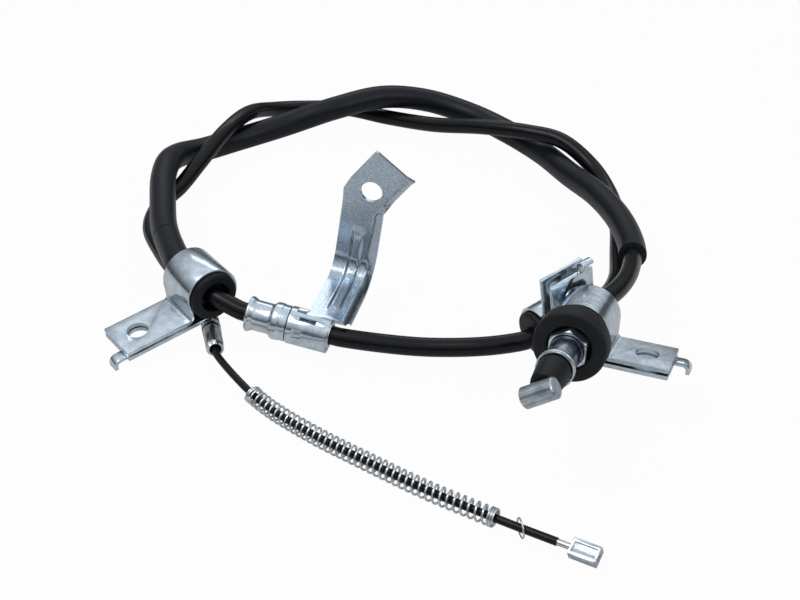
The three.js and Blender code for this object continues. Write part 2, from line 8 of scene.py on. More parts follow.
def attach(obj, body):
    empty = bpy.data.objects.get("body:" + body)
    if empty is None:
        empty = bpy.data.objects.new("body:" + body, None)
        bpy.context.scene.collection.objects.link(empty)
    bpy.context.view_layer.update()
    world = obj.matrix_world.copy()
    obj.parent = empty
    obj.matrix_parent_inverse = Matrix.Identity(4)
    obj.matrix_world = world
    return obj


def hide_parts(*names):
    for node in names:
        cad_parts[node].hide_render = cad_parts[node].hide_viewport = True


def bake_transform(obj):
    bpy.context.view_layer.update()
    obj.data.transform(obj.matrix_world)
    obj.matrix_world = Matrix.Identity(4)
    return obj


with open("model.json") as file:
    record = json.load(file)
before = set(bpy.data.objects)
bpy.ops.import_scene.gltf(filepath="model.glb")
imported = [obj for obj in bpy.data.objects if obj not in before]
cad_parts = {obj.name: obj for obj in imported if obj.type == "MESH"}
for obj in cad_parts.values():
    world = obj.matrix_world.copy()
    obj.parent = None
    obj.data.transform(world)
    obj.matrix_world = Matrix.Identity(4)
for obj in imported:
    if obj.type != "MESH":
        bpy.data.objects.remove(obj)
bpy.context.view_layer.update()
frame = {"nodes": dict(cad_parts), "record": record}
scene = bpy.context.scene
mm = 0.001

# Straight stretches of the route that carry fittings. Each heading runs toward the lever end
seats = {
    "fitting": {"centre": (61.8, -160.4, 3.8), "heading": (-0.866, 0.5, 0), "before": 7, "after": 24},
    "wheelFerrule": {"centre": (-76.4, -35, 4.4), "heading": (-0.22, 0.975, 0), "before": 10, "after": 10},
    "upperClip": {"centre": (63.8, -37.2, 13.4), "heading": (-0.83, -0.53, -0.2), "before": 13, "after": 13},
    "barrel": {"centre": (-44.4, -38.6, 13.5), "heading": (-0.96, 0.233, 0.15), "before": 18, "after": 18},
    "leftClip": {"centre": (-82.3, -20, 21.2), "heading": (-0.6, 0.79, 0.05), "before": 8, "after": 14},
    "lever": {"centre": (61.25, -89.1, 37), "heading": (-0.36, -0.92, 0.155), "before": 37, "after": 38},
}

# The lever nipple's place ties the bench, where the route is drawn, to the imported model
def nippleOnBench():
    seat = seats["lever"]
    return Vector(seat["centre"]) + Vector(seat["heading"]).normalized() * seat["after"]


mountPlaces = {mount["name"]: Vector(mount["pos_m"]) for mount in frame["record"]["mounts"]}
benchShift = mountPlaces["lever_nipple"] - nippleOnBench() * mm


def onBench(point):
    return Vector(point) * mm + benchShift


# Camera
cameraView = {"distance": 600, "elevation": 33, "lens": 62.55, "sensor": 36, "near": 0.01, "far": 50}


def makeCamera():
    tilt = math.radians(cameraView["elevation"])
    reach = cameraView["distance"]
    data = bpy.data.cameras.new("camera")
    data.lens = cameraView["lens"]
    data.sensor_width = cameraView["sensor"]
    data.clip_start = cameraView["near"]
    data.clip_end = cameraView["far"]
    camera = bpy.data.objects.new("camera", data)
    camera.location = onBench((0, -reach * math.cos(tilt), reach * math.sin(tilt)))
    camera.rotation_euler = (math.pi / 2 - tilt, 0, 0)
    scene.collection.objects.link(camera)
    scene.camera = camera


makeCamera()
print("camera placed")

# The cable's route from the spring end, the same as the solids follow
route = [
    "fitting",
    (10.6, -129.6, 3.8), (-10.8, -114, 3.8), (-33.4, -96.5, 3.8), (-53.7, -77, 3.9),
    "wheelFerrule",
    (-94, 8, 4.1), (-107, 33, 4.1), (-115.5, 56, 4.1), (-114, 78, 4.1), (-106.5, 92.5, 5.8),
    (-98, 107, 11.8), (-88, 128, 17.4), (-78, 152, 16.6), (-66, 173, 9), (-51, 183, 5),
    (-30, 184, 4.1), (-6, 172.5, 4.2), (18, 156, 8), (42, 140, 14.5), (63, 128, 17.6),
    (80, 119.5, 17), (94, 106, 10), (101, 87, 4.8), (101.5, 62, 4.1), (98, 32, 4.4), (94, 7, 6.8),
    (86.5, -13, 10.6),
    "upperClip",
    (36, -48, 9.4), (12, -47, 8), (-8, -45.5, 9),
    "barrel",
    "leftClip",
    (-104, 29, 18), (-109, 57, 17), (-112, 80, 17), (-112, 97, 16.4), (-109, 112, 12.8),
    (-99, 128, 7.8), (-84, 142, 6.3), (-60, 154, 8.8), (-34, 162, 14.6), (-9, 173, 15.9),
    (14, 177, 12.2), (37, 169.5, 7.8), (56, 151, 6.3), (72, 127, 6.3), (83, 100, 8.2),
    (93, 70, 13), (99, 42, 15.8), (100, 12, 19), (95, -15, 24), (87.5, -34, 27.6),
    "lever",
]
routeSetup = {"seatEase": 2, "stepsPerPoint": 40, "headingReach": 0.6}


def inMetres(x, y, z):
    return Vector((x * mm, y * mm, z * mm))


def seatAxes(name):
    z = Vector(seats[name]["heading"]).normalized()
    x = Vector((0, 0, 1)).cross(z).normalized()
    return x, z.cross(x), z


def buildRoute():
    points, marks = [], {}
    ease = routeSetup["seatEase"]
    for stop in route:
        if not isinstance(stop, str):
            points.append(Vector(stop))
            continue
        seat = seats[stop]
        centre, z = Vector(seat["centre"]), seatAxes(stop)[2]
        points += [centre - z * (seat["before"] + ease), centre - z * seat["before"]]
        marks[stop] = len(points) - 1
        points += [centre + z * seat["after"], centre + z * (seat["after"] + ease)]
    return points, marks


def centripetal(points, steps):
    ends = [points[0] * 2 - points[1]] + points + [points[-1] * 2 - points[-2]]
    out = []
    for i in range(1, len(ends) - 2):
        p0, p1, p2, p3 = ends[i - 1:i + 3]
        t1 = (p1 - p0).length ** 0.5
        t2 = t1 + (p2 - p1).length ** 0.5
        t3 = t2 + (p3 - p2).length ** 0.5
        for k in range(steps):
            t = t1 + (t2 - t1) * k / steps
            a1 = p0.lerp(p1, t / t1)
            a2 = p1.lerp(p2, (t - t1) / (t2 - t1))
            a3 = p2.lerp(p3, (t - t2) / (t3 - t2))
            b1 = a1.lerp(a2, t / t2)
            b2 = a2.lerp(a3, (t - t1) / (t3 - t1))
            out.append(b1.lerp(b2, (t - t1) / (t2 - t1)))
    return out + [points[-1]]


routePoints, routeMarks = buildRoute()
fineRoute = centripetal(routePoints, routeSetup["stepsPerPoint"])
fineRuns = [0.0]
for i in range(1, len(fineRoute)):
    fineRuns.append(fineRuns[-1] + (fineRoute[i] - fineRoute[i - 1]).length)


def along(name, distance=0.0):
    return fineRuns[routeSetup["stepsPerPoint"] * routeMarks[name]] + seats[name]["before"] + distance


def routeAt(run):
    run = min(max(run, 0), fineRuns[-1] - 1e-6)
    low, high = 0, len(fineRuns) - 1
    while high - low > 1:
        mid = (low + high) // 2
        if fineRuns[mid] <= run:
            low = mid
        else:
            high = mid
    share = (run - fineRuns[low]) / max(fineRuns[high] - fineRuns[low], 1e-9)
    return fineRoute[low].lerp(fineRoute[high], share)


def headingAt(run):
    reach = routeSetup["headingReach"]
    return (routeAt(run + reach) - routeAt(run - reach)).normalized()


# Meshes. The angles, in degrees, are those above which an edge stays sharp or is rounded
edgeAngles = {"sweep": 50, "turned": 32, "sheet": 30, "bracket": 40, "cut": 34, "bevel": 40}
tubeEnds = {"thick": 0.5, "thin": 0.2, "thickFrom": 2}


def makeObject(name, vertices, faces, material, smoothAngle=35):
    mesh = bpy.data.meshes.new(name)
    mesh.from_pydata([tuple(v) for v in vertices], [], faces)
    mesh.validate()
    mesh.update()
    mesh.materials.append(material)
    made = bpy.data.objects.new(name, mesh)
    scene.collection.objects.link(made)
    mesh.shade_smooth()
    if smoothAngle < 180:
        mesh.set_sharp_from_angle(angle=math.radians(smoothAngle))
    return made


def sweepTube(name, centres, radii, sides, material):
    rings = []
    side = None
    for i, centre in enumerate(centres):
        ahead = (centres[min(i + 1, len(centres) - 1)] - centres[max(i - 1, 0)]).normalized()
        if side is None:
            side = ahead.orthogonal().normalized()
        side = (side - ahead * side.dot(ahead)).normalized()
        other = ahead.cross(side)
        rings.append([centre + (side * math.cos(2 * math.pi * k / sides)
                                + other * math.sin(2 * math.pi * k / sides)) * radii[i]
                      for k in range(sides)])
    vertices = [v for ring in rings for v in ring]
    faces = []
    for r in range(len(rings) - 1):
        for k in range(sides):
            n = (k + 1) % sides
            faces.append((r * sides + k, r * sides + n, (r + 1) * sides + n, (r + 1) * sides + k))
    faces.append(tuple(range(sides))[::-1])
    faces.append(tuple((len(rings) - 1) * sides + k for k in range(sides)))
    return makeObject(name, vertices, faces, material, edgeAngles["sweep"])


def routeTube(name, fromRun, toRun, radius, sides, material, pitch=3.0):
    count = max(2, round((toRun - fromRun) / pitch))
    runs = [fromRun + (toRun - fromRun) * i / count for i in range(count + 1)]
    edge = tubeEnds["thick"] if radius > tubeEnds["thickFrom"] else tubeEnds["thin"]
    runs = [runs[0], runs[0] + edge / 2] + runs[1:-1] + [runs[-1] - edge / 2, runs[-1]]
    radii = [(radius - edge) * mm] + [radius * mm] * (len(runs) - 2) + [(radius - edge) * mm]
    return sweepTube(name, [onBench(routeAt(r)) for r in runs], radii, sides, material)


def stands(piece, node, body):
    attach(piece, body)
    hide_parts(node)
    return piece


# Shader groups
def shaderGroup(name, inputs):
    group = bpy.data.node_groups.new(name, "ShaderNodeTree")
    group.interface.new_socket("Shader", in_out="OUTPUT", socket_type="NodeSocketShader")
    for label, kind, value in inputs:
        socket = group.interface.new_socket(label, in_out="INPUT", socket_type=kind)
        socket.default_value = value
    nodes = group.nodes
    return group, nodes, nodes.new("NodeGroupInput"), nodes.new("NodeGroupOutput")


def materialOf(name, group, settings):
    material = bpy.data.materials.new(name)
    material.use_nodes = True
    nodes = material.node_tree.nodes
    nodes.clear()
    used = nodes.new("ShaderNodeGroup")
    used.node_tree = group
    for label, value in settings.items():
        used.inputs[label].default_value = value
    output = nodes.new("ShaderNodeOutputMaterial")
    material.node_tree.links.new(used.outputs["Shader"], output.inputs["Surface"])
    return material


def makeSteelGroup():
    group, nodes, given, out = shaderGroup("platedSteel", [
        ("Colour", "NodeSocketColor", (0.62, 0.67, 0.72, 1)),
        # The second colour, mixed in by random cloud patches: a stain in most of the steels, and in the
        # bracket's darker copy also painted dark reflection
        ("StainAndPaintedReflection", "NodeSocketColor", (0.36, 0.42, 0.5, 1)),
        ("Roughness", "NodeSocketFloat", 0.24),
        ("Scale", "NodeSocketFloat", 120.0),
        ("Dents", "NodeSocketFloat", 0.1),
    ])
    link = group.links.new
    place = nodes.new("ShaderNodeTexCoord")
    cloud = nodes.new("ShaderNodeTexNoise")
    cloud.inputs["Detail"].default_value = 6
    cloud.inputs["Roughness"].default_value = 0.62
    link(place.outputs["Object"], cloud.inputs["Vector"])
    link(given.outputs["Scale"], cloud.inputs["Scale"])
    ramp = nodes.new("ShaderNodeValToRGB")
    ramp.color_ramp.elements[0].position = 0.36
    ramp.color_ramp.elements[1].position = 0.66
    link(cloud.outputs["Fac"], ramp.inputs["Fac"])
    mix = nodes.new("ShaderNodeMix")
    mix.data_type = "RGBA"
    link(ramp.outputs["Color"], mix.inputs["Factor"])
    link(given.outputs["StainAndPaintedReflection"], mix.inputs["A"])
    link(given.outputs["Colour"], mix.inputs["B"])
    grain = nodes.new("ShaderNodeTexNoise")
    grain.inputs["Scale"].default_value = 900
    grain.inputs["Detail"].default_value = 4
    link(place.outputs["Object"], grain.inputs["Vector"])
    rough = nodes.new("ShaderNodeMath")
    rough.operation = "MULTIPLY_ADD"
    link(grain.outputs["Fac"], rough.inputs[0])
    rough.inputs[1].default_value = 0.16
    link(given.outputs["Roughness"], rough.inputs[2])
    bump = nodes.new("ShaderNodeBump")
    bump.inputs["Distance"].default_value = 0.0004
    link(given.outputs["Dents"], bump.inputs["Strength"])
    link(cloud.outputs["Fac"], bump.inputs["Height"])
    shader = nodes.new("ShaderNodeBsdfPrincipled")
    shader.inputs["Metallic"].default_value = 0.94
    link(mix.outputs["Result"], shader.inputs["Base Color"])
    link(rough.outputs[0], shader.inputs["Roughness"])
    link(bump.outputs["Normal"], shader.inputs["Normal"])
    link(shader.outputs["BSDF"], out.inputs["Shader"])
    return group


def makeRubberGroup():
    group, nodes, given, out = shaderGroup("blackRubber", [
        ("Colour", "NodeSocketColor", (0.012, 0.013, 0.016, 1)),
        ("Dust", "NodeSocketColor", (0.03, 0.033, 0.04, 1)),
        ("Roughness", "NodeSocketFloat", 0.45),
        ("Scale", "NodeSocketFloat", 260.0),
        ("Grain", "NodeSocketFloat", 0.12),
    ])
    link = group.links.new
    place = nodes.new("ShaderNodeTexCoord")
    cloud = nodes.new("ShaderNodeTexNoise")
    cloud.inputs["Detail"].default_value = 5
    link(place.outputs["Object"], cloud.inputs["Vector"])
    link(given.outputs["Scale"], cloud.inputs["Scale"])
    mix = nodes.new("ShaderNodeMix")
    mix.data_type = "RGBA"
    link(cloud.outputs["Fac"], mix.inputs["Factor"])
    link(given.outputs["Colour"], mix.inputs["A"])
    link(given.outputs["Dust"], mix.inputs["B"])
    rough = nodes.new("ShaderNodeMath")
    rough.operation = "MULTIPLY_ADD"
    link(cloud.outputs["Fac"], rough.inputs[0])
    rough.inputs[1].default_value = 0.14
    link(given.outputs["Roughness"], rough.inputs[2])
    grain = nodes.new("ShaderNodeTexNoise")
    grain.inputs["Scale"].default_value = 2400
    grain.inputs["Detail"].default_value = 3
    link(place.outputs["Object"], grain.inputs["Vector"])
    bump = nodes.new("ShaderNodeBump")
    bump.inputs["Distance"].default_value = 0.0002
    link(given.outputs["Grain"], bump.inputs["Strength"])
    link(grain.outputs["Fac"], bump.inputs["Height"])
    shader = nodes.new("ShaderNodeBsdfPrincipled")
    shader.inputs["Specular IOR Level"].default_value = 0.24
    link(mix.outputs["Result"], shader.inputs["Base Color"])
    link(rough.outputs[0], shader.inputs["Roughness"])
    link(bump.outputs["Normal"], shader.inputs["Normal"])
    link(shader.outputs["BSDF"], out.inputs["Shader"])
    return group


steelGroup = makeSteelGroup()
rubberGroup = makeRubberGroup()
platedSteel = materialOf("platedSteel", steelGroup, {
    "Colour": (0.72, 0.79, 0.84, 1), "StainAndPaintedReflection": (0.5, 0.58, 0.66, 1),
    "Roughness": 0.1, "Scale": 240.0, "Dents": 0.12,
})
# A darker copy of the plated steel for the bracket: its darker colour and darker stain colour are painted dark
# reflection over the whole sheet, foot and head alike
bracketSteelPaintedReflection = materialOf("bracketSteelPaintedReflection", steelGroup, {
    "Colour": (0.58, 0.66, 0.73, 1), "StainAndPaintedReflection": (0.34, 0.42, 0.52, 1),
    "Roughness": 0.1, "Scale": 1300.0, "Dents": 0.08,
})
agedSteel = materialOf("agedSteel", steelGroup, {
    "Colour": (0.4, 0.44, 0.5, 1), "StainAndPaintedReflection": (0.08, 0.1, 0.14, 1),
    "Roughness": 0.16, "Scale": 230.0, "Dents": 0.25,
})
drawnSteel = materialOf("drawnSteel", steelGroup, {
    "Colour": (0.74, 0.76, 0.78, 1), "StainAndPaintedReflection": (0.5, 0.53, 0.56, 1),
    "Roughness": 0.14, "Scale": 300.0, "Dents": 0.05,
})
castSteel = materialOf("castSteel", steelGroup, {
    "Colour": (0.62, 0.67, 0.71, 1), "StainAndPaintedReflection": (0.34, 0.39, 0.44, 1),
    "Roughness": 0.2, "Scale": 240.0, "Dents": 0.2,
})
jacketGloss = materialOf("jacketGloss", rubberGroup, {
    "Colour": (0.004, 0.0044, 0.006, 1), "Dust": (0.008, 0.009, 0.012, 1),
    "Roughness": 0.14, "Grain": 0.03,
})
sleeveRubber = materialOf("sleeveRubber", rubberGroup, {
    "Colour": (0.005, 0.006, 0.01, 1), "Dust": (0.01, 0.013, 0.02, 1),
    "Roughness": 0.3,
})
bushRubber = materialOf("bushRubber", rubberGroup, {
    "Colour": (0.005, 0.0055, 0.007, 1), "Dust": (0.013, 0.014, 0.017, 1),
    "Roughness": 0.42, "Grain": 0.2,
})
grommetRubber = materialOf("grommetRubber", rubberGroup, {
    "Colour": (0.009, 0.01, 0.012, 1), "Dust": (0.02, 0.021, 0.025, 1),
    "Roughness": 0.45, "Grain": 0.25,
})
cableCoat = materialOf("cableCoat", rubberGroup, {
    "Colour": (0.005, 0.005, 0.006, 1), "Dust": (0.01, 0.01, 0.012, 1),
    "Roughness": 0.25, "Grain": 0.05,
})
print("materials made")

# Conduit, sleeves and inner cable
cableSizes = {
    "cable": 1.5, "strand": 1.2, "stripped": 5, "jacket": 3.9, "armour": 2.7, "sleeve": 6.0,
    "fitting": 10.2, "ferrule": 18, "ferruleNose": 5, "gap": 0.3,
    "jacketInLever": 6, "armourInLever": 5,
    "shortSleeveBack": 9, "jointAfterClip": 47, "longSleeveBack": 102,
    "cordPitch": 4, "armourPitch": 6.0,
    "jacketSides": 32, "sleeveSides": 40, "armourSides": 20,
}


def makeCable():
    size = cableSizes
    jacketStart = along("wheelFerrule", size["ferrule"] / 2) + size["gap"]
    jacketEnd = along("lever", size["jacketInLever"])
    jacket = routeTube("conduitJacket", jacketStart, jacketEnd, size["jacket"], size["jacketSides"], jacketGloss)
    stands(jacket, "conduit_jacket", "root")
    shortStart = along("leftClip", -size["shortSleeveBack"])
    joint = along("leftClip") + size["jointAfterClip"]
    longEnd = along("lever") - size["longSleeveBack"]
    radius, sides = size["sleeve"], size["sleeveSides"]
    shortSleeve = routeTube("shortSleeve", shortStart, joint - size["gap"], radius, sides, sleeveRubber)
    longSleeve = routeTube("longSleeve", joint, longEnd, radius, sides, sleeveRubber)
    stands(shortSleeve, "short_sleeve", "root")
    stands(longSleeve, "long_sleeve", "root")
    armourStart = along("wheelFerrule", -size["ferrule"] / 2) + size["ferruleNose"]
    armourEnd = along("lever", size["armourInLever"])
    armour = routeTube(
        "conduitArmour", armourStart, armourEnd, size["armour"], size["armourSides"],
        drawnSteel, size["armourPitch"])
    stands(armour, "conduit_armour", "root")


makeCable()
print("conduit and sleeves made")


# The inner cable shows at each end: its bare strand goes with the spring end and its lever part with the lever
# end
innerSizes = {
    "fromFittingEnd": 1, "inFerrule": 8, "blendFromFerrule": 30, "blendToCoat": 10,
    "strandLap": 0.5, "leverStart": 15, "leverEnd": 38,
    "coatPitch": 2.5, "strandPitch": 1.0, "leverPitch": 2.0, "coatSides": 20, "strandSides": 16,
}


def makeInnerCable():
    size, own = cableSizes, innerSizes
    strandStart = along("fitting", -size["fitting"] / 2) + own["fromFittingEnd"]
    coatStart = along("fitting", size["fitting"] / 2) + size["stripped"]
    middle = along("wheelFerrule", own["inFerrule"])
    coat = routeTube(
        "innerCable", coatStart, middle, size["cable"], own["coatSides"], cableCoat, own["coatPitch"])
    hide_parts("inner_cable")
    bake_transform(coat)
    strandEnd = coatStart + own["strandLap"]
    strand = routeTube(
        "bareStrand", strandStart, strandEnd, size["strand"], own["strandSides"], drawnSteel, own["strandPitch"])
    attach(strand, "spring_end")
    leverStart, leverEnd = along("lever", own["leverStart"]), along("lever", own["leverEnd"])
    lever = routeTube(
        "leverCable", leverStart, leverEnd, size["cable"], own["coatSides"], cableCoat, own["leverPitch"])
    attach(lever, "lever_end")


makeInnerCable()
print("inner cable made")

# Return spring
springSizes = {
    "outer": 3.7, "wire": 0.45, "coils": 44, "closedCoils": 2.5, "gap": 43, "length": 115,
    "stepsPerCoil": 26, "wireSides": 8,
}


def makeSpring():
    size = springSizes
    end = along("wheelFerrule") - size["gap"]
    start = end - size["length"]
    steps = size["coils"] * size["stepsPerCoil"]
    closedTurns, wirePitch = size["closedCoils"], 2 * size["wire"] / size["length"]
    middle = size["outer"] - size["wire"]

    def placeShare(turn):
        openTurns = size["coils"] - 2 * closedTurns
        openPitch = (1 - 2 * closedTurns * wirePitch) / openTurns
        if turn < closedTurns:
            return turn * wirePitch
        if turn > size["coils"] - closedTurns:
            return 1 - (size["coils"] - turn) * wirePitch
        return closedTurns * wirePitch + (turn - closedTurns) * openPitch

    centres = []
    for i in range(steps + 1):
        turn = size["coils"] * i / steps
        run = start + size["length"] * placeShare(turn)
        heading = headingAt(run)
        x = Vector((0, 0, 1)).cross(heading).normalized()
        y = heading.cross(x)
        angle = 2 * math.pi * turn
        centres.append(onBench(routeAt(run) + (x * math.cos(angle) + y * math.sin(angle)) * middle))
    radii = [size["wire"] * mm] * len(centres)
    spring = sweepTube("returnSpring", centres, radii, size["wireSides"], drawnSteel)
    stands(spring, "return_spring", "spring_end")


makeSpring()
print("spring made")

# Turned pieces. Each outline is a list of (radius, place along the cable), as its solid has it
turnedDetail = {"sides": 72, "fineSides": 96}


def seatPlace(name, distance=0.0, roll=0.0):
    x, y, z = seatAxes(name)
    turn = Matrix((x, y, z)).transposed().to_4x4()
    centre = onBench(Vector(seats[name]["centre"]) + z * distance)
    return Matrix.Translation(centre) @ turn @ Matrix.Rotation(roll, 4, "Z")


def turnedMesh(name, place, profile, material, sides=turnedDetail["sides"], wave=None):
    count = len(profile)
    vertices, faces = [], []
    for k in range(sides):
        angle = 2 * math.pi * k / sides
        for radius, reach in profile:
            across = radius if wave is None else wave(radius, reach, angle)
            vertices.append(place @ inMetres(across * math.cos(angle), across * math.sin(angle), reach))
    for k in range(sides):
        n = (k + 1) % sides
        for i in range(count):
            j = (i + 1) % count
            faces.append((k * count + i, n * count + i, n * count + j, k * count + j))
    return makeObject(name, vertices, faces, material, edgeAngles["turned"])


def rounded(profile, cut):
    out = []
    count = len(profile)
    for i, (r, z) in enumerate(profile):
        (r0, z0), (r1, z1) = profile[i - 1], profile[(i + 1) % count]
        before, after = math.hypot(r0 - r, z0 - z), math.hypot(r1 - r, z1 - z)
        a, b = min(cut, before * 0.4), min(cut, after * 0.4)
        start = (r + (r0 - r) * a / before, z + (z0 - z) * a / before)
        end = (r + (r1 - r) * b / after, z + (z1 - z) * b / after)
        middle = ((start[0] + end[0] + 2 * r) / 4, (start[1] + end[1] + 2 * z) / 4)
        out += [start, middle, end]
    return out


barrelSizes = {
    "half": 17.5, "bore": 4.2, "neck": 5.9, "radius": 6.3, "shoulder": 7.4, "shoulderEnd": 3.2,
    "bead": 7.7, "beadStart": 3.7, "beadEnd": 6.3, "bodyStart": 7.8, "bodyEnd": 14.5,
    "flare": 7.4, "flareAt": 16.5, "lip": 0.3, "gap": 0.3, "edge": 0.5,
}


def makeCrimpBarrel():
    size = barrelSizes
    half, gap = size["half"], size["gap"]
    profile = rounded([
        (size["bore"], -half), (size["neck"], -half), (size["neck"], gap), (size["shoulder"], gap),
        (size["shoulder"], size["shoulderEnd"]),
        (size["bead"], size["beadStart"]), (size["bead"], size["beadEnd"]),
        (size["radius"], size["bodyStart"]), (size["radius"], size["bodyEnd"]),
        (size["flare"], size["flareAt"]), (size["flare"] - size["lip"], half), (size["bore"], half),
    ], size["edge"])
    barrel = turnedMesh("crimpBarrel", seatPlace("barrel"), profile, platedSteel)
    stands(barrel, "crimp_barrel", "root")


makeCrimpBarrel()

# Lever ferrule, and the rings that sit on its tube with a small gap
leverSizes = {
    "tube": 6.1, "bore": 4.2, "back": -10.5, "taper": 0.8, "taperEnd": -8.5, "tubeEnd": 19.5,
    "nose": 3.9, "noseEnd": 26, "noseBore": 1.9, "boreEnd": 6.3, "edge": 0.3, "onTube": 6.4,
}
grommetSizes = {
    "radius": 14, "back": -9, "chamfer": 1, "front": 0.9,
    "recess": 8.4, "recessEdge": 0.6, "floor": -6, "edge": 0.5,
}
bandSizes = {
    "radius": 7.1, "groove": 6.85, "start": 16.5, "end": 19.5,
    "grooveAt": (17.4, 17.7, 18.1, 18.4), "edge": 0.12,
}
bootSizes = {
    "bore": 4.2, "root": 6.3, "start": 19.8, "rootEnd": 22.3, "tip": 5.4, "tipAt": 31.8,
    "mouth": 4.4, "end": 32.8, "cableBore": 2.6, "wallStart": 29.8, "boreEnd": 28.3, "edge": 0.4,
}
collarSizes = {
    "corner": 8.1, "flat": 7.0, "back": -5.7, "chamferAt": 1.8, "chamfer": 7.4, "front": 2.5, "edge": 0.15,
}


def makeLeverFerrule(place):
    size = leverSizes
    profile = rounded([
        (size["bore"], size["back"]), (size["tube"] - size["taper"], size["back"]),
        (size["tube"], size["taperEnd"]), (size["tube"], size["tubeEnd"]),
        (size["nose"], size["tubeEnd"]), (size["nose"], size["noseEnd"]),
        (size["noseBore"], size["noseEnd"]), (size["noseBore"], size["boreEnd"]),
        (size["bore"], size["boreEnd"]),
    ], size["edge"])
    stands(turnedMesh("leverFerrule", place, profile, agedSteel), "lever_ferrule", "root")


def makeGrommet(place):
    size, onTube = grommetSizes, leverSizes["onTube"]
    profile = rounded([
        (onTube, size["back"]), (size["radius"] - size["chamfer"], size["back"]),
        (size["radius"], size["back"] + size["chamfer"]), (size["radius"], -size["front"]),
        (size["radius"] - size["front"], 0), (size["recess"] + size["recessEdge"], 0),
        (size["recess"], -size["recessEdge"]), (size["recess"], size["floor"]), (onTube, size["floor"]),
    ], size["edge"])
    ring = turnedMesh("panelGrommet", place, profile, grommetRubber, turnedDetail["fineSides"])
    stands(ring, "grommet", "root")


def makeBootBand(place):
    size, onTube = bandSizes, leverSizes["onTube"]
    a, b, c, d = size["grooveAt"]
    profile = rounded([
        (onTube, size["start"]), (size["radius"], size["start"]), (size["radius"], a), (size["groove"], b),
        (size["groove"], c), (size["radius"], d), (size["radius"], size["end"]), (onTube, size["end"]),
    ], size["edge"])
    stands(turnedMesh("bootBand", place, profile, platedSteel), "boot_band", "root")


def makeCableBoot(place):
    size = bootSizes
    profile = rounded([
        (size["bore"], size["start"]), (size["root"], size["start"]), (size["root"], size["rootEnd"]),
        (size["tip"], size["tipAt"]), (size["mouth"], size["end"]), (size["cableBore"], size["end"]),
        (size["cableBore"], size["wallStart"]), (size["bore"], size["boreEnd"]),
    ], size["edge"])
    stands(turnedMesh("cableBoot", place, profile, bushRubber), "cable_boot", "root")


def makeCrimpCollar(place):
    size, onTube = collarSizes, leverSizes["onTube"]

    def flats(radius, reach, angle):
        if radius < size["flat"]:
            return radius
        sixth = math.pi / 3
        around = (angle + sixth / 2) % sixth - sixth / 2
        return min(radius, size["flat"] / math.cos(around))

    profile = rounded([
        (onTube, size["back"]), (size["corner"], size["back"]), (size["corner"], size["chamferAt"]),
        (size["chamfer"], size["front"]), (onTube, size["front"]),
    ], size["edge"])
    collar = turnedMesh("crimpCollar", place, profile, platedSteel, turnedDetail["fineSides"], flats)
    stands(collar, "crimp_collar", "root")


leverPlace = seatPlace("lever")
makeLeverFerrule(leverPlace)
makeGrommet(leverPlace)
makeBootBand(leverPlace)
makeCableBoot(leverPlace)
makeCrimpCollar(leverPlace)
print("lever end made")

# Each clip's seat and distance along it, the roll of its tab in degrees, the tab's reach, the gap
# between the tab's layers, and the bore of its bush: over the sleeve at the left, else over the jacket
clips = {
    "left": {"seat": "leftClip", "distance": 0, "roll": -7.5, "reach": 41, "layerGap": 0.9, "bore": 6.3},
    "upper": {"seat": "upperClip", "distance": 0, "roll": 86, "reach": 32, "layerGap": 4.5, "bore": 4.2},
    "right": {"seat": "lever", "distance": -24, "roll": 0, "reach": 35, "layerGap": 1.1, "bore": 4.2},
}
bushSizes = {"radius": 9.5, "lip": 10.3, "half": 12.5, "lipHalf": 11.7, "waistHalf": 10.3, "edge": 0.4}


def makeBush(side):
    size, clip = bushSizes, clips[side]
    radius, lip, bore = size["radius"], size["lip"], clip["bore"]
    half, lipHalf, waistHalf = size["half"], size["lipHalf"], size["waistHalf"]
    profile = rounded([
        (bore, -half), (radius, -half), (lip, -lipHalf), (lip, -waistHalf), (radius, -waistHalf),
        (radius, waistHalf), (lip, waistHalf), (lip, lipHalf), (radius, half), (bore, half),
    ], size["edge"])
    bush = turnedMesh(side + "Bush", seatPlace(clip["seat"], clip["distance"]), profile, bushRubber)
    stands(bush, side + "_clip_bush", "root")


for side in clips:
    makeBush(side)
print("bushes made")

# Wheel ferrule, with six pressed flutes toward the spring, and the seal in its groove
wheelSizes = {
    "half": 9, "mouth": 2.5, "rim": 3.25, "body": 3.95, "bodyFrom": -7, "bodyRows": (-3, 1, 4.5),
    "groove": 3.6, "grooveFrom": 5.2, "grooveTo": 6.3, "shoulderFrom": 7, "shoulderTo": 8.4, "tail": 3.4,
    "bore": 3.0, "boreFrom": -4.3, "cableBore": 1.9, "throat": -8, "edge": 0.25,
    "flutes": 6, "fluteDepth": 0.42, "fluteFrom": 4.5, "fluteRun": 6, "fluteAbove": 3.2,
}
sealSizes = {"bore": 3.5, "radius": 3.9, "start": 5.3, "end": 6.2, "edge": 0.2}


def makeWheelFerrule(place):
    size = wheelSizes

    def flutes(radius, reach, angle):
        if radius < size["fluteAbove"]:
            return radius
        wave = (1 + math.cos(size["flutes"] * angle)) / 2
        fade = min(1, max(0, (size["fluteFrom"] - reach) / size["fluteRun"]))
        return radius - size["fluteDepth"] * wave * fade

    front = [(size["mouth"], -size["half"]), (size["rim"], -size["half"]), (size["body"], size["bodyFrom"])]
    body = [(size["body"], reach) for reach in size["bodyRows"]]
    profile = rounded(front + body + [
        (size["groove"], size["grooveFrom"]), (size["groove"], size["grooveTo"]),
        (size["body"], size["shoulderFrom"]), (size["body"], size["shoulderTo"]),
        (size["tail"], size["half"]), (size["bore"], size["half"]), (size["bore"], size["boreFrom"]),
        (size["cableBore"], size["boreFrom"]), (size["cableBore"], size["throat"]),
    ], size["edge"])
    ferrule = turnedMesh("wheelFerrule", place, profile, drawnSteel, wave=flutes)
    stands(ferrule, "wheel_ferrule", "root")


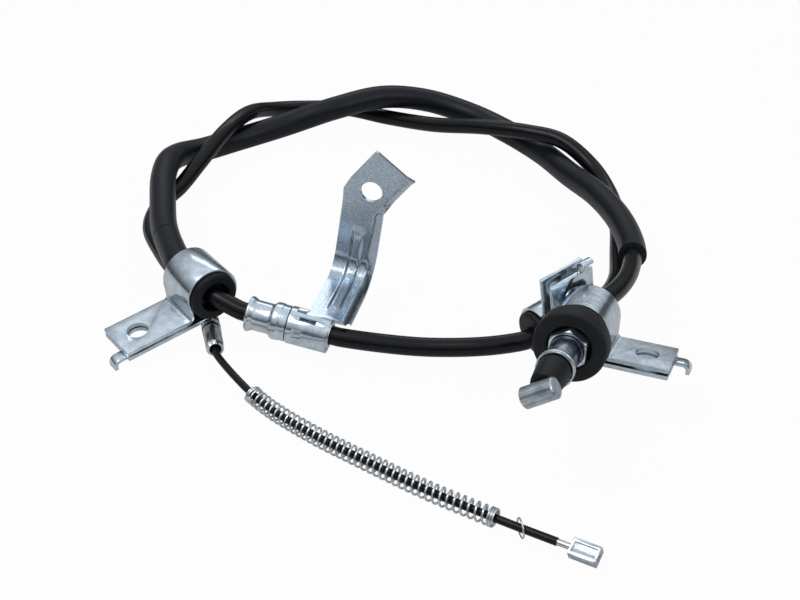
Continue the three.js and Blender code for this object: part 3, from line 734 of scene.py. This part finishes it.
def makeFerruleSeal(place):
    size = sealSizes
    profile = rounded([
        (size["bore"], size["start"]), (size["radius"], size["start"]),
        (size["radius"], size["end"]), (size["bore"], size["end"]),
    ], size["edge"])
    seal = turnedMesh("ferruleSeal", place, profile, bushRubber)
    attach(seal, "root")


makeWheelFerrule(seatPlace("wheelFerrule"))
makeFerruleSeal(seatPlace("wheelFerrule"))
print("wheel ferrule made")


# Pressed sheet pieces
def arcPoints(x, y, radius, fromDegrees, toDegrees, steps):
    out = []
    for i in range(steps + 1):
        turn = math.radians(fromDegrees + (toDegrees - fromDegrees) * i / steps)
        out.append((x + radius * math.cos(turn), y + radius * math.sin(turn)))
    return out


def outward(piece):
    shape = bmesh.new()
    shape.from_mesh(piece.data)
    bmesh.ops.recalc_face_normals(shape, faces=shape.faces)
    shape.to_mesh(piece.data)
    shape.free()


def sheetPrism(name, line, thickness, low, high, place, material):
    front, back = [], []
    for i, (x, y) in enumerate(line):
        (x0, y0), (x1, y1) = line[max(i - 1, 0)], line[min(i + 1, len(line) - 1)]
        run = math.hypot(x1 - x0, y1 - y0)
        tx, ty = (x1 - x0) / run, (y1 - y0) / run
        front.append((x - ty * thickness / 2, y + tx * thickness / 2))
        back.append((x + ty * thickness / 2, y - tx * thickness / 2))
    count = len(line)
    vertices = []
    for z in (low, high):
        vertices += [place @ inMetres(x, y, z) for x, y in front + back]
    faces = []
    for i in range(count - 1):
        f, g, n = i, i + 1, 2 * count
        faces.append((f, g, g + n, f + n))
        faces.append((count + g, count + f, count + f + n, count + g + n))
        faces.append((f, count + f, count + g, g))
        faces.append((f + n, g + n, count + g + n, count + f + n))
    faces.append((0, 2 * count, 3 * count, count))
    faces.append((count - 1, 2 * count - 1, 4 * count - 1, 3 * count - 1))
    made = makeObject(name, vertices, faces, material, edgeAngles["sheet"])
    outward(made)
    return made


def addBevel(piece, width):
    bevel = piece.modifiers.new("edges", "BEVEL")
    bevel.width = width * mm
    bevel.segments = 2
    bevel.limit_method = "ANGLE"
    bevel.angle_limit = math.radians(edgeAngles["bevel"])


def smoothed(mesh):
    mesh.shade_smooth()
    mesh.set_sharp_from_angle(angle=math.radians(edgeAngles["cut"]))


# Cuts the holes, rounds the edges and keeps the result as the piece's mesh
def cutAndRound(piece, cutters, width=0.22):
    for i, cutter in enumerate(cutters):
        outward(cutter)
        cut = piece.modifiers.new("cut" + str(i), "BOOLEAN")
        cut.operation = "DIFFERENCE"
        cut.solver = "EXACT"
        cut.object = cutter
    addBevel(piece, width)
    bpy.context.view_layer.update()
    made = bpy.data.meshes.new_from_object(piece.evaluated_get(bpy.context.evaluated_depsgraph_get()))
    piece.modifiers.clear()
    piece.data = made
    smoothed(made)
    for cutter in cutters:
        bpy.data.objects.remove(cutter)


# Adds the second piece's mesh, with its own finish, to the first
def joined(first, second):
    shape = bmesh.new()
    shape.from_mesh(first.data)
    known = len(shape.faces)
    shape.from_mesh(second.data)
    shape.faces.ensure_lookup_table()
    finish = second.data.materials[0]
    if finish != first.data.materials[0]:
        first.data.materials.append(finish)
        for face in shape.faces[known:]:
            face.material_index = 1
    shape.to_mesh(first.data)
    shape.free()
    bpy.data.objects.remove(second)
    smoothed(first.data)
    return first


def drill(place, radius, reach):
    axis = 0.0001
    profile = [(axis, -reach), (radius, -reach), (radius, reach), (axis, reach)]
    return turnedMesh("drill", place, profile, platedSteel, 48)


def boxMesh(name, place, low, high, material):
    vertices = [place @ (Vector((x, y, z)) * mm)
                for x in (low[0], high[0]) for y in (low[1], high[1]) for z in (low[2], high[2])]
    faces = [(0, 1, 3, 2), (4, 6, 7, 5), (0, 4, 5, 1), (2, 3, 7, 6), (0, 2, 6, 4), (1, 5, 7, 3)]
    return makeObject(name, vertices, faces, material)


# A clip is one strip, bent round its bush, with both ends laid over each other as the tab
clipSizes = {
    "bore": 9.8, "facet": 9, "sheet": 1.6, "width": 20, "tab": 12, "hole": 4.5, "inset": 10, "bend": 2.3,
    "bendSteps": 10, "loopSteps": 60, "drillReach": 12,
    "hookWidth": 5, "hookReach": 3, "hookDrop": 3.6, "hookInset": 6,
    "hookLap": 1, "hookSteps": 8, "hookThinner": 0.02,
}


def clipStrip(side, place, middle):
    size, clip = clipSizes, clips[side]
    half, sheet, bend, reach = size["width"] / 2, size["sheet"], size["bend"], clip["reach"]
    upper = -middle + sheet + clip["layerGap"]
    line = [(reach, upper), (reach - size["tab"], upper)]
    line += arcPoints(middle + bend, upper + bend, bend, 270, 180, size["bendSteps"])
    line += arcPoints(0, 0, middle, 0, 270, size["loopSteps"])
    line += [(reach - size["tab"], -middle), (reach, -middle)]
    return sheetPrism(side + "Clip", line, sheet, -half, half, place, platedSteel)


def clipHook(side, place, middle):
    size, reach = clipSizes, clips[side]["reach"]
    bend, tip = size["bend"], reach + size["hookReach"]
    line = [(reach - size["hookLap"], -middle)]
    line += arcPoints(tip, -middle - bend, bend, 90, 0, size["hookSteps"])
    line += [(tip + bend, -middle - size["hookDrop"])]
    low = -size["hookInset"] - size["hookWidth"] / 2
    thickness = size["sheet"] - size["hookThinner"]
    return sheetPrism(side + "Hook", line, thickness, low, low + size["hookWidth"], place, platedSteel)


def makeClip(side):
    size, clip = clipSizes, clips[side]
    place = seatPlace(clip["seat"], clip["distance"], math.radians(clip["roll"]))
    middle = size["bore"] / math.cos(math.radians(size["facet"])) + size["sheet"] / 2
    strip, hook = clipStrip(side, place, middle), clipHook(side, place, middle)
    boreCentre = Vector((clip["reach"] - size["inset"], -middle, 0)) * mm
    bore = place @ Matrix.Translation(boreCentre) @ Matrix.Rotation(math.pi / 2, 4, "X")
    cutAndRound(strip, [drill(bore, size["hole"], size["drillReach"])])
    cutAndRound(hook, [])
    stands(joined(strip, hook), side + "_clip", "root")


for side in clips:
    makeClip(side)
print("clips made")

# The bracket is one sheet: a foot on the barrel, a bend and an upright whose head is turned
bracketSizes = {
    "collar": 17, "bore": 6.2, "outer": 7.7, "sheet": 1.5, "foot": 26, "bend": 10.4, "bendSteps": 14,
    "columns": 44, "edge": 0.2, "collarEdge": 0.3, "collarRound": 0.15,
    "hole": 4.5, "holeAt": (18.2, 30.7), "drillReach": 12, "barrelReach": 30, "barrelAt": -15,
    "ribMiddle": 15.5, "ribHalf": 2.4, "ribHeight": 1.25, "ribRun": 11, "ribFrom": 4, "ribEase": 4,
    "ribPast": 1.5, "ribTop": 0.55, "ribSlope": 0.6, "ribBow": 0.8,
    "flange": 3.4, "flangeDrop": 3.1, "flangeFull": 19, "flangeEnd": 21.5, "flangeEase": 2.5,
    "headFlange": 3.4, "headFlangeDrop": 3.6, "headFrom": 23.5, "headStart": 24, "headEnd": 39.5,
    "headStartEase": 2, "headEndEase": 1.5, "flangeBow": 1.5,
}
footRows = (0.0, 3, 5, 7, 9, 12, 16, 20, 23)
uprightRows = (
    2, 4, 6, 8, 10, 12, 14, 17, 20, 21.5, 23, 25, 27, 29.5, 32, 34.2, 36, 38.9, 41, 43, 45, 47, 48.4, 49.1)
# the upright's and head's edges as (place along the barrel, height above the bend)
bracketLeft = [(7, 0), (7, 24), (6.6, 29.5), (8.6, 34.2), (17.6, 49.2)]
bracketRight = [(24, 0), (24, 20.4), (25.3, 23), (34.7, 38.9), (17.6, 49.2)]
# slots and dents of the collar: angles round it, (width, depth, length), place along the barrel
collarCuts = [
    ((-30, 140), (2, 4, 7), -8),
    ((-80, 40, 8), (4, 1, 4), -4.5),
]


def edgeAt(edge, height):
    for (u0, w0), (u1, w1) in zip(edge, edge[1:]):
        if height <= w1:
            return u0 + (u1 - u0) * (height - w0) / (w1 - w0)
    return edge[-1][0]


# Rows across the sheet as (out from the barrel, up, the normal's two shares, height above the bend)
def bracketRows(level, bendTop, upright):
    size = bracketSizes
    rows = [(x, level, 0, 1, 0) for x in footRows]
    for i, (x, y) in enumerate(arcPoints(size["foot"], bendTop, size["bend"], -90, 0, size["bendSteps"])):
        turn = math.radians(-90 + 90 * i / size["bendSteps"])
        rows.append((x, y, math.cos(turn), -math.sin(turn), 0))
    return rows + [(upright, bendTop + w, 1, 0, w) for w in uprightRows]


def flangeAt(w):
    size = bracketSizes
    if w < size["flangeFull"]:
        return size["flangeDrop"], size["flange"]
    if w < size["headFrom"]:
        return size["flangeDrop"] * max(0.0, (size["flangeEnd"] - w) / size["flangeEase"]), size["flange"]
    start = max(0, (w - size["headStart"]) / size["headStartEase"])
    end = max(0, (size["headEnd"] - w) / size["headEndEase"])
    return size["headFlangeDrop"] * min(1, start, end), size["headFlange"]


# How far the sheet rises in the rib and falls away at the folded side
def liftAt(u, right, rise, drop, width):
    size = bracketSizes
    away = abs(u - size["ribMiddle"]) / size["ribHalf"]
    share = 1
    if away >= size["ribTop"]:
        share = max(0, 1 - (away - size["ribTop"]) / size["ribSlope"]) ** size["ribBow"]
    edge = max(0.0, (u - (right - width)) / width)
    return rise * share - drop * edge ** size["flangeBow"]


def bracketSheet(place, rows):
    size = bracketSizes
    half, columns = size["sheet"] / 2, size["columns"]
    front, back = [], []
    run = 0
    for i, (x, y, nx, ny, w) in enumerate(rows):
        if i:
            run += math.hypot(x - rows[i - 1][0], y - rows[i - 1][1])
        left, right = edgeAt(bracketLeft, w), edgeAt(bracketRight, w)
        ribStart = min(1, max(0, (run - size["ribFrom"]) / size["ribEase"]))
        ribEnd = min(1, max(0, (size["ribRun"] + size["ribPast"] - w) / size["ribEase"]))
        rise = size["ribHeight"] * ribStart * ribEnd
        drop, width = flangeAt(w)
        for k in range(columns + 1):
            u = left + (right - left) * k / columns
            lift = liftAt(u, right, rise, drop, width)
            for side, away in ((front, lift + half), (back, lift - half)):
                side.append(place @ inMetres(-x + nx * away, y + ny * away, -u))
    wide, total, last = columns + 1, len(front), len(rows) - 1
    faces = []
    for r in range(last):
        for k in range(columns):
            a, b = r * wide + k, r * wide + k + 1
            c, d = b + wide, a + wide
            faces.append((a, b, c, d))
            faces.append((d + total, c + total, b + total, a + total))
    rim = [k for k in range(wide)]
    rim += [r * wide + columns for r in range(1, last + 1)]
    rim += [last * wide + k for k in range(columns - 1, -1, -1)]
    rim += [r * wide for r in range(last - 1, 0, -1)]
    for a, b in zip(rim, rim[1:] + rim[:1]):
        faces.append((b, a, a + total, b + total))
    # The sheet takes the darker steel, whose colours are painted dark reflection
    sheet = makeObject("stampedBracket", front + back, faces, bracketSteelPaintedReflection, edgeAngles["bracket"])
    outward(sheet)
    return sheet


def bracketCollar(place):
    size = bracketSizes
    profile = rounded([
        (size["bore"], -size["collar"]), (size["outer"], -size["collar"]),
        (size["outer"], 0), (size["bore"], 0),
    ], size["collarEdge"])
    ring = turnedMesh("collar", place, profile, platedSteel, turnedDetail["fineSides"])
    outward(ring)
    cutters = []
    for angles, (width, depth, length), at in collarCuts:
        for angle in angles:
            turned = place @ Matrix.Rotation(math.radians(angle), 4, "Z")
            low = (-width / 2, size["outer"] - depth / 2, at - length / 2)
            high = (width / 2, size["outer"] + depth / 2, at + length / 2)
            cutters.append(boxMesh("cutter", turned, low, high, platedSteel))
    cutAndRound(ring, cutters, size["collarRound"])
    return ring


def makeBracket():
    size = bracketSizes
    place = seatPlace("barrel")
    level = size["outer"] - size["sheet"] / 2
    bendTop, upright = level + size["bend"], size["foot"] + size["bend"]
    sheet = bracketSheet(place, bracketRows(level, bendTop, upright))
    holeU, holeW = size["holeAt"]
    holeCentre = Matrix.Translation(Vector((-upright, bendTop + holeW, -holeU)) * mm)
    hole = place @ holeCentre @ Matrix.Rotation(math.pi / 2, 4, "Y")
    barrelRoom = place @ Matrix.Translation(Vector((0, 0, size["barrelAt"])) * mm)
    holeDrill = drill(hole, size["hole"], size["drillReach"])
    barrelDrill = drill(barrelRoom, size["bore"], size["barrelReach"])
    cutAndRound(sheet, [holeDrill, barrelDrill], size["edge"])
    stands(joined(sheet, bracketCollar(place)), "stamped_bracket", "root")


makeBracket()
print("bracket made")

# End fitting, a block with a trough in each face
fittingSizes = {
    "roll": -0.45, "length": 10.2, "wide": 3.1, "high": 2.23, "edge": 0.42,
    "trough": 0.95, "troughHalf": 1.75, "troughRun": 8.4, "past": 1, "bore": 1.3,
}


def makeEndFitting():
    size = fittingSizes
    place = seatPlace("fitting", 0, size["roll"])
    half, wide, high = size["length"] / 2, size["wide"], size["high"]
    fitting = boxMesh("endFitting", place, (-wide, -high, -half), (wide, high, half), castSteel)
    outward(fitting)
    floor, top = high - size["trough"], high + size["past"]
    across, run = size["troughHalf"], size["troughRun"] / 2
    cutters = [boxMesh("trough", place, (-across, low, -run), (across, above, run), castSteel)
               for low, above in ((floor, top), (-top, -floor))]
    cutters.append(drill(place, size["bore"], half + size["past"]))
    cutAndRound(fitting, cutters, size["edge"])
    stands(fitting, "end_fitting", "spring_end")


makeEndFitting()

# Loose ring, leaning on the cable and seen nearly edge-on
ringSizes = {
    "place": 23.9, "middle": 3.55, "wire": 0.33, "axis": (0.971, 0.231, 0.043),
    "steps": 72, "wireSides": 12,
}


def makeLooseRing():
    size = ringSizes
    axis = Vector(size["axis"]).normalized()
    centre = seatPlace("fitting", size["place"]).translation
    across = axis.cross(Vector((0, 0, 1))).normalized()
    over = across.cross(axis)
    line = []
    for i in range(size["steps"] + 1):
        turn = 2 * math.pi * i / size["steps"]
        line.append(centre + (across * math.cos(turn) + over * math.sin(turn)) * size["middle"] * mm)
    ring = sweepTube("looseRing", line, [size["wire"] * mm] * len(line), size["wireSides"], drawnSteel)
    stands(ring, "loose_ring", "spring_end")


makeLooseRing()
print("spring end made")


# The nipple keeps its solid and takes its finish
def finishNipple():
    nipple = frame["nodes"]["barrel_nipple"]
    nipple.data.materials.clear()
    nipple.data.materials.append(castSteel)
    addBevel(nipple, 0.25)


finishNipple()
print("nipple finished")

# Floor, world and lamps
studio = {
    "floor": 6.0, "floorLevel": -0.0002, "floorColour": (0.9, 0.9, 0.9, 1),
    "floorGlow": 0.97, "floorShine": 0.25,
    "worldColour": (0.9, 0.95, 1, 1), "worldFill": 0.2,
    "worldLow": 0.05, "worldHigh": 0.95, "worldBand": (0.1, 0.8),
    "aim": (0, 0, 0.02),
    "lamps": [
        ("key", (-0.45, -0.25, 1.0), (0.7, 0.5), 3.3),
        ("fill", (0.8, -0.6, 0.7), (0.25, 0.8), 1.6),
        ("back", (0.1, 1.0, 0.8), (1.0, 0.25), 1.2),
    ],
}


def makeFloor():
    shade = bpy.data.materials.new("floorWhite")
    shade.use_nodes = True
    nodes, link = shade.node_tree.nodes, shade.node_tree.links.new
    nodes.clear()
    diffuse = nodes.new("ShaderNodeBsdfDiffuse")
    diffuse.inputs["Color"].default_value = studio["floorColour"]
    glow = nodes.new("ShaderNodeEmission")
    path = nodes.new("ShaderNodeLightPath")
    share = nodes.new("ShaderNodeMath")
    share.operation = "MULTIPLY"
    share.inputs[1].default_value = studio["floorGlow"]
    link(path.outputs["Is Camera Ray"], share.inputs[0])
    shine = nodes.new("ShaderNodeMath")
    shine.operation = "MULTIPLY_ADD"
    shine.inputs[1].default_value = studio["floorShine"]
    link(path.outputs["Is Glossy Ray"], shine.inputs[0])
    link(share.outputs[0], shine.inputs[2])
    mix = nodes.new("ShaderNodeMixShader")
    link(shine.outputs[0], mix.inputs[0])
    link(diffuse.outputs["BSDF"], mix.inputs[1])
    link(glow.outputs["Emission"], mix.inputs[2])
    output = nodes.new("ShaderNodeOutputMaterial")
    link(mix.outputs["Shader"], output.inputs["Surface"])
    half, level = studio["floor"] / 2, studio["floorLevel"]
    corners = [(-half, -half, level), (half, -half, level), (half, half, level), (-half, half, level)]
    makeObject("floor", corners, [(0, 1, 2, 3)], shade, 180)


def makeWorld():
    world = bpy.data.worlds.new("studio")
    world.use_nodes = True
    scene.world = world
    nodes, link = world.node_tree.nodes, world.node_tree.links.new
    back = nodes["Background"]
    back.inputs["Color"].default_value = studio["worldColour"]
    place = nodes.new("ShaderNodeTexCoord")
    split = nodes.new("ShaderNodeSeparateXYZ")
    link(place.outputs["Generated"], split.inputs[0])
    height = nodes.new("ShaderNodeMapRange")
    height.inputs["From Min"].default_value, height.inputs["From Max"].default_value = studio["worldBand"]
    height.inputs["To Min"].default_value = studio["worldLow"]
    height.inputs["To Max"].default_value = studio["worldHigh"]
    link(split.outputs["Z"], height.inputs["Value"])
    path = nodes.new("ShaderNodeLightPath")
    strength = nodes.new("ShaderNodeMix")
    strength.data_type = "FLOAT"
    strength.inputs["A"].default_value = studio["worldFill"]
    link(path.outputs["Is Glossy Ray"], strength.inputs["Factor"])
    link(height.outputs["Result"], strength.inputs["B"])
    seen = nodes.new("ShaderNodeMix")
    seen.data_type = "FLOAT"
    seen.inputs["B"].default_value = 1.0
    link(path.outputs["Is Camera Ray"], seen.inputs["Factor"])
    link(strength.outputs["Result"], seen.inputs["A"])
    link(seen.outputs["Result"], back.inputs["Strength"])


def makeLamps():
    for name, place, size, power in studio["lamps"]:
        data = bpy.data.lights.new(name, "AREA")
        data.shape = "RECTANGLE"
        data.size, data.size_y = size
        data.energy = power
        lamp = bpy.data.objects.new(name, data)
        lamp.location = place
        lamp.rotation_euler = (Vector(studio["aim"]) - Vector(place)).to_track_quat("-Z", "Y").to_euler()
        scene.collection.objects.link(lamp)


makeFloor()
makeWorld()
makeLamps()
scene.view_settings.view_transform = "Standard"
print("studio made")
